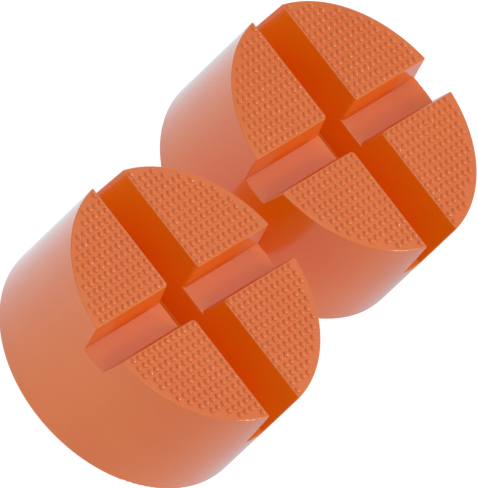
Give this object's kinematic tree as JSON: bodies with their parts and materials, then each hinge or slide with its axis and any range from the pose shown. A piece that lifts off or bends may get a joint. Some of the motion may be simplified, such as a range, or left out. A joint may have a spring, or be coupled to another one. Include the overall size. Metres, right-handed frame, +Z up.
{
  "type": "leveling block set",
  "caption": "Set of round leveling blocks with two crossing tapered slots on top, one deeper than the other, and studded grip pads between them.",
  "frame": {"origin": "on the floor, halfway between the two blocks, which is the bottom centre of the set's box", "axes": "+X along the deep slots, +Y along the shallow slots from the front block towards the rear block, +Z up"},
  "size_m": [0.092, 0.1624, 0.0364],
  "materials": {
    "block": "semi-gloss moulded orange resin"
  },
  "bodies": {
    "front_block": {"front_block": "block"},
    "rear_block": {"rear_block": "block"}
  },
  "joints": [
    {"name": "rear_block_lift", "type": "slide", "parent": "front_block", "child": "rear_block", "axis": [0, 0, 1], "range_m": [0, 0.05]}
  ]
}
